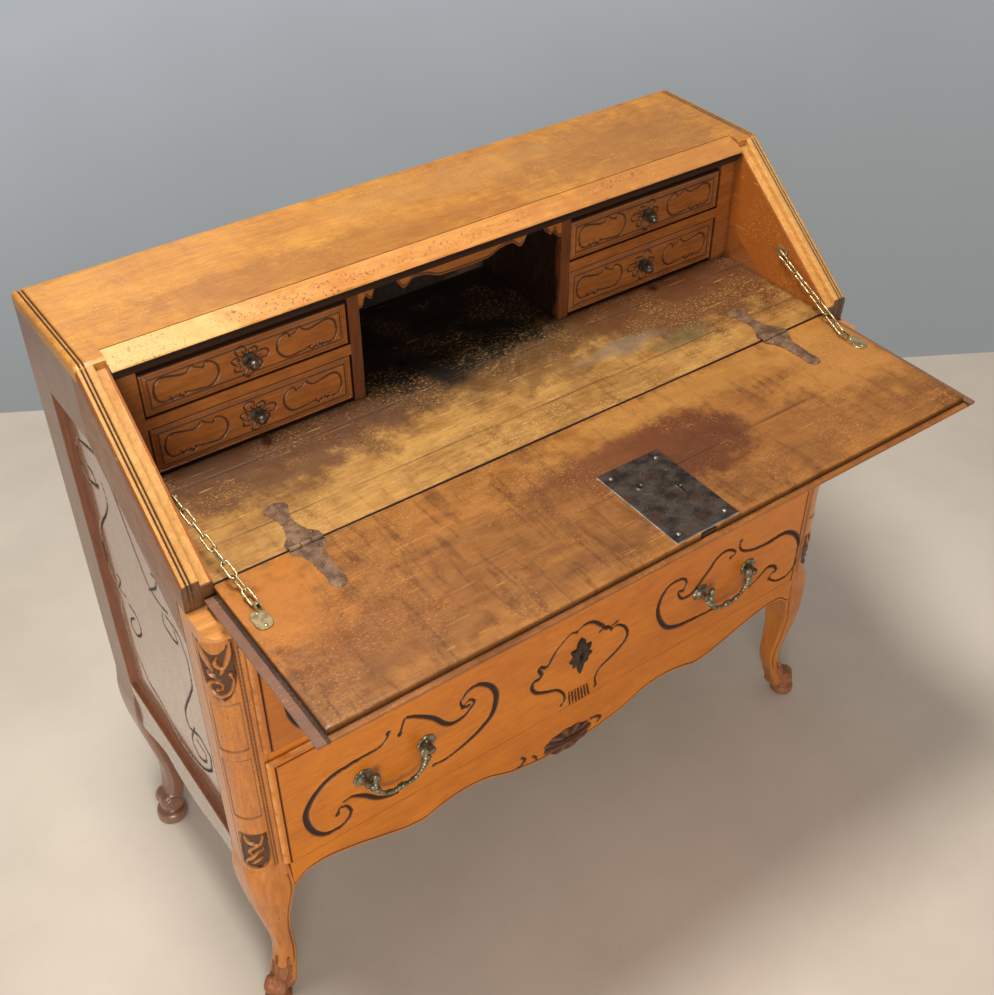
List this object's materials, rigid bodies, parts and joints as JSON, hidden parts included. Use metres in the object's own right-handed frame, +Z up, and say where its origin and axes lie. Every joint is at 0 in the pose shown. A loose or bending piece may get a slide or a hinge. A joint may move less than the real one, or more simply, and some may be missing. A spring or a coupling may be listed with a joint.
{
  "type": "slant-front writing desk",
  "caption": "Slant-front writing desk on cabriole legs: fall lid on strap hinges and stay chains, small interior drawers round an open niche, long carved drawers.",
  "frame": {"origin": "floor level under the middle of the desk's outline with the lid let down", "axes": "+X across the desk to the right seen from the front, +Y towards the back, +Z up"},
  "size_m": [1.0872, 0.6686, 0.981],
  "materials": {
    "top_walnut": "worn wax, honey gold",
    "edge_walnut": "worn wax, pale arrises",
    "writing_walnut": "stained and worn, satin",
    "lid_walnut": "scratched and stained, satin",
    "case_walnut": "waxed, satin",
    "panel_walnut": "waxed, glossy",
    "gallery_walnut": "waxed reddish brown",
    "plain_pine": "plain, dry",
    "front_walnut": "waxed warm orange brown",
    "hinge_iron": "forged, grey brown",
    "lock_iron": "forged, nearly black",
    "nail_iron": "worn bright heads",
    "chain_brass": "dull old brass",
    "key_iron": "dark forged iron",
    "bail_metal": "aged green brown patina",
    "knob_metal": "aged patina"
  },
  "bodies": {
    "case": {"top_board": "top_walnut", "top_front_rail": "edge_walnut", "writing_board": "writing_walnut", "waist_moulding": "edge_walnut", "front_left_post": "case_walnut", "front_right_post": "case_walnut", "rear_left_post": "case_walnut", "rear_right_post": "case_walnut", "left_side_top_rail": "case_walnut", "right_side_top_rail": "case_walnut", "left_slope_rail": "edge_walnut", "right_slope_rail": "edge_walnut", "left_side_bottom_rail": "case_walnut", "right_side_bottom_rail": "case_walnut", "left_side_panel": "panel_walnut", "right_side_panel": "panel_walnut", "back_panel": "plain_pine", "drawer_divider_rail": "case_walnut", "front_apron": "front_walnut", "bottom_board": "plain_pine", "middle_dust_board": "plain_pine", "drawer_guides": "plain_pine", "gallery_partitions": "gallery_walnut", "gallery_frame_strips": "gallery_walnut", "gallery_shelves": "gallery_walnut", "niche_valance": "gallery_walnut", "hinge_upper_leaves": "hinge_iron", "hinge_pins": "hinge_iron", "chain_wall_eyes": "chain_brass"},
    "lid": {"lid_board": "lid_walnut", "hinge_lower_leaves": "hinge_iron", "lid_lock_plate": "lock_iron", "lid_lock_nails": "nail_iron", "lid_chain_plates": "chain_brass"},
    "lock_bolt": {"lid_lock_bolt": "lock_iron"},
    "chain_upper_left": {"chain_upper_left": "chain_brass"},
    "chain_lower_left": {"chain_lower_left": "chain_brass"},
    "chain_upper_right": {"chain_upper_right": "chain_brass"},
    "chain_lower_right": {"chain_lower_right": "chain_brass"},
    "upper_drawer": {"upper_drawer_front": "front_walnut", "upper_drawer_box": "plain_pine", "upper_drawer_key_plate": "key_iron", "upper_drawer_bail_posts": "bail_metal"},
    "lower_drawer": {"lower_drawer_front": "front_walnut", "lower_drawer_box": "plain_pine", "lower_drawer_key_plate": "key_iron", "lower_drawer_bail_posts": "bail_metal"},
    "upper_bail_left": {"upper_bail_left": "bail_metal"},
    "upper_bail_right": {"upper_bail_right": "bail_metal"},
    "lower_bail_left": {"lower_bail_left": "bail_metal"},
    "lower_bail_right": {"lower_bail_right": "bail_metal"},
    "small_drawer_upper_left": {"small_drawer_upper_left": "gallery_walnut", "small_knob_upper_left": "knob_metal"},
    "small_drawer_upper_right": {"small_drawer_upper_right": "gallery_walnut", "small_knob_upper_right": "knob_metal"},
    "small_drawer_lower_left": {"small_drawer_lower_left": "gallery_walnut", "small_knob_lower_left": "knob_metal"},
    "small_drawer_lower_right": {"small_drawer_lower_right": "gallery_walnut", "small_knob_lower_right": "knob_metal"}
  },
  "joints": [
    {"name": "lid_hinge", "type": "hinge", "parent": "case", "child": "lid", "pos_m": [0, -0.07473, 0.793], "axis": [1, 0, 0], "range_deg": [-141.5, 0]},
    {"name": "lock_bolt_slide", "type": "slide", "parent": "lid", "child": "lock_bolt", "axis": [0, -1, 0], "range_m": [0, 0.008]},
    {"name": "chain_upper_left_turn", "type": "hinge", "parent": "case", "child": "chain_upper_left", "pos_m": [-0.476, 0.01827, 0.851], "axis": [1, 0, 0], "range_deg": [0, 19]},
    {"name": "chain_lower_left_turn", "type": "hinge", "parent": "lid", "child": "chain_lower_left", "pos_m": [-0.459, -0.13173, 0.7975], "axis": [1, 0, 0], "range_deg": [0, 103]},
    {"name": "chain_upper_right_turn", "type": "hinge", "parent": "case", "child": "chain_upper_right", "pos_m": [0.476, 0.01827, 0.851], "axis": [1, 0, 0], "range_deg": [0, 19]},
    {"name": "chain_lower_right_turn", "type": "hinge", "parent": "lid", "child": "chain_lower_right", "pos_m": [0.459, -0.13173, 0.7975], "axis": [1, 0, 0], "range_deg": [0, 103]},
    {"name": "upper_drawer_slide", "type": "slide", "parent": "case", "child": "upper_drawer", "axis": [0, -1, 0], "range_m": [0, 0.3]},
    {"name": "upper_bail_left_turn", "type": "hinge", "parent": "upper_drawer", "child": "upper_bail_left", "pos_m": [-0.3, -0.13973, 0.62711], "axis": [-1, 0, 0], "range_deg": [0, 80]},
    {"name": "upper_bail_right_turn", "type": "hinge", "parent": "upper_drawer", "child": "upper_bail_right", "pos_m": [0.3, -0.13973, 0.62711], "axis": [-1, 0, 0], "range_deg": [0, 80]},
    {"name": "lower_drawer_slide", "type": "slide", "parent": "case", "child": "lower_drawer", "axis": [0, -1, 0], "range_m": [0, 0.3]},
    {"name": "lower_bail_left_turn", "type": "hinge", "parent": "lower_drawer", "child": "lower_bail_left", "pos_m": [-0.3, -0.13973, 0.40502], "axis": [-1, 0, 0], "range_deg": [0, 80]},
    {"name": "lower_bail_right_turn", "type": "hinge", "parent": "lower_drawer", "child": "lower_bail_right", "pos_m": [0.3, -0.13973, 0.40502], "axis": [-1, 0, 0], "range_deg": [0, 80]},
    {"name": "small_drawer_upper_left_slide", "type": "slide", "parent": "case", "child": "small_drawer_upper_left", "axis": [0, -1, 0], "range_m": [0, 0.12]},
    {"name": "small_drawer_upper_right_slide", "type": "slide", "parent": "case", "child": "small_drawer_upper_right", "axis": [0, -1, 0], "range_m": [0, 0.12]},
    {"name": "small_drawer_lower_left_slide", "type": "slide", "parent": "case", "child": "small_drawer_lower_left", "axis": [0, -1, 0], "range_m": [0, 0.12]},
    {"name": "small_drawer_lower_right_slide", "type": "slide", "parent": "case", "child": "small_drawer_lower_right", "axis": [0, -1, 0], "range_m": [0, 0.12]}
  ],
  "couplings": [
    {"joint": "chain_upper_left_turn", "follows": "lid_hinge", "ratio": -0.13426},
    {"joint": "chain_lower_left_turn", "follows": "lid_hinge", "ratio": -0.72784},
    {"joint": "chain_upper_right_turn", "follows": "lid_hinge", "ratio": -0.13426},
    {"joint": "chain_lower_right_turn", "follows": "lid_hinge", "ratio": -0.72784}
  ]
}
